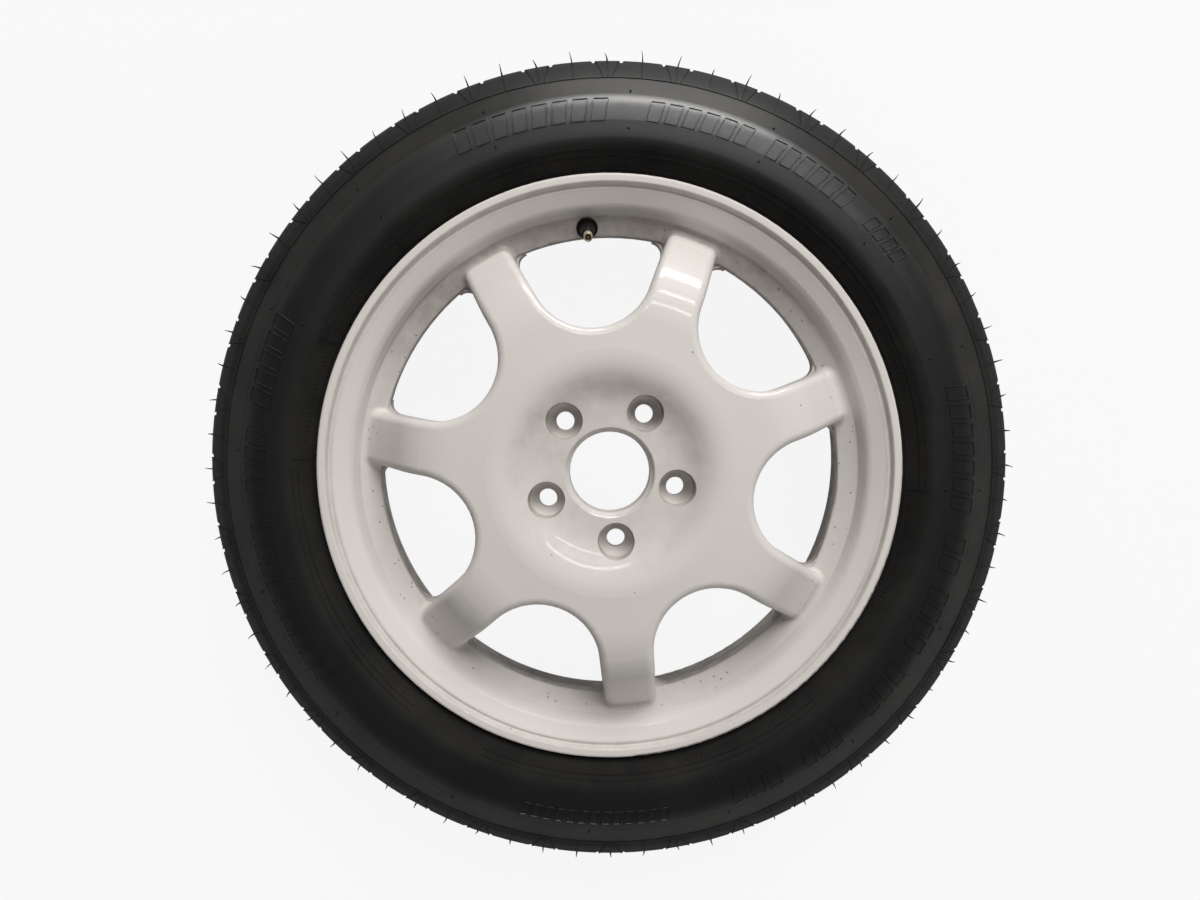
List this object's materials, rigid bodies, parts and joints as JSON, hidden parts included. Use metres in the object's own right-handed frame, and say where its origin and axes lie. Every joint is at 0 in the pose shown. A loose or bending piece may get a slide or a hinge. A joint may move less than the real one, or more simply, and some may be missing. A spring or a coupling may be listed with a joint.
{
  "type": "spare wheel",
  "caption": "Temporary spare wheel: domed alloy casting with arched windows between its spokes, narrow tyre and a snap-in valve.",
  "frame": {"origin": "centre of the hub mounting face, on the wheel axis", "axes": "+Z along the wheel axis, outboard and up as the wheel lies on its inboard side; +Y toward the valve"},
  "size_m": [0.7288, 0.7288, 0.1837],
  "materials": {
    "wheel_paint": "gloss paint",
    "tyre_rubber": "matte",
    "valve_rubber": "satin",
    "brass": "dull",
    "seal_rubber": "matte",
    "spring_steel": "bright"
  },
  "bodies": {
    "wheel": {"alloy_wheel": "wheel_paint", "tyre": "tyre_rubber", "valve_rubber_stem": "valve_rubber", "valve_brass_sleeve": "brass", "core_plug": "brass", "core_barrel": "brass", "core_gasket": "seal_rubber", "core_spring": "spring_steel"},
    "valve_pin": {"core_pin": "brass", "plunger_cup": "brass", "plunger_seal": "seal_rubber"}
  },
  "joints": [
    {"name": "valve_pin_press", "type": "slide", "parent": "wheel", "child": "valve_pin", "axis": [0, -0.4561, 0.8899], "range_m": [-0.0015, 0], "stiffness_N_per_m": 500, "springref_m": 0.002, "deforming": ["core_spring"]}
  ]
}
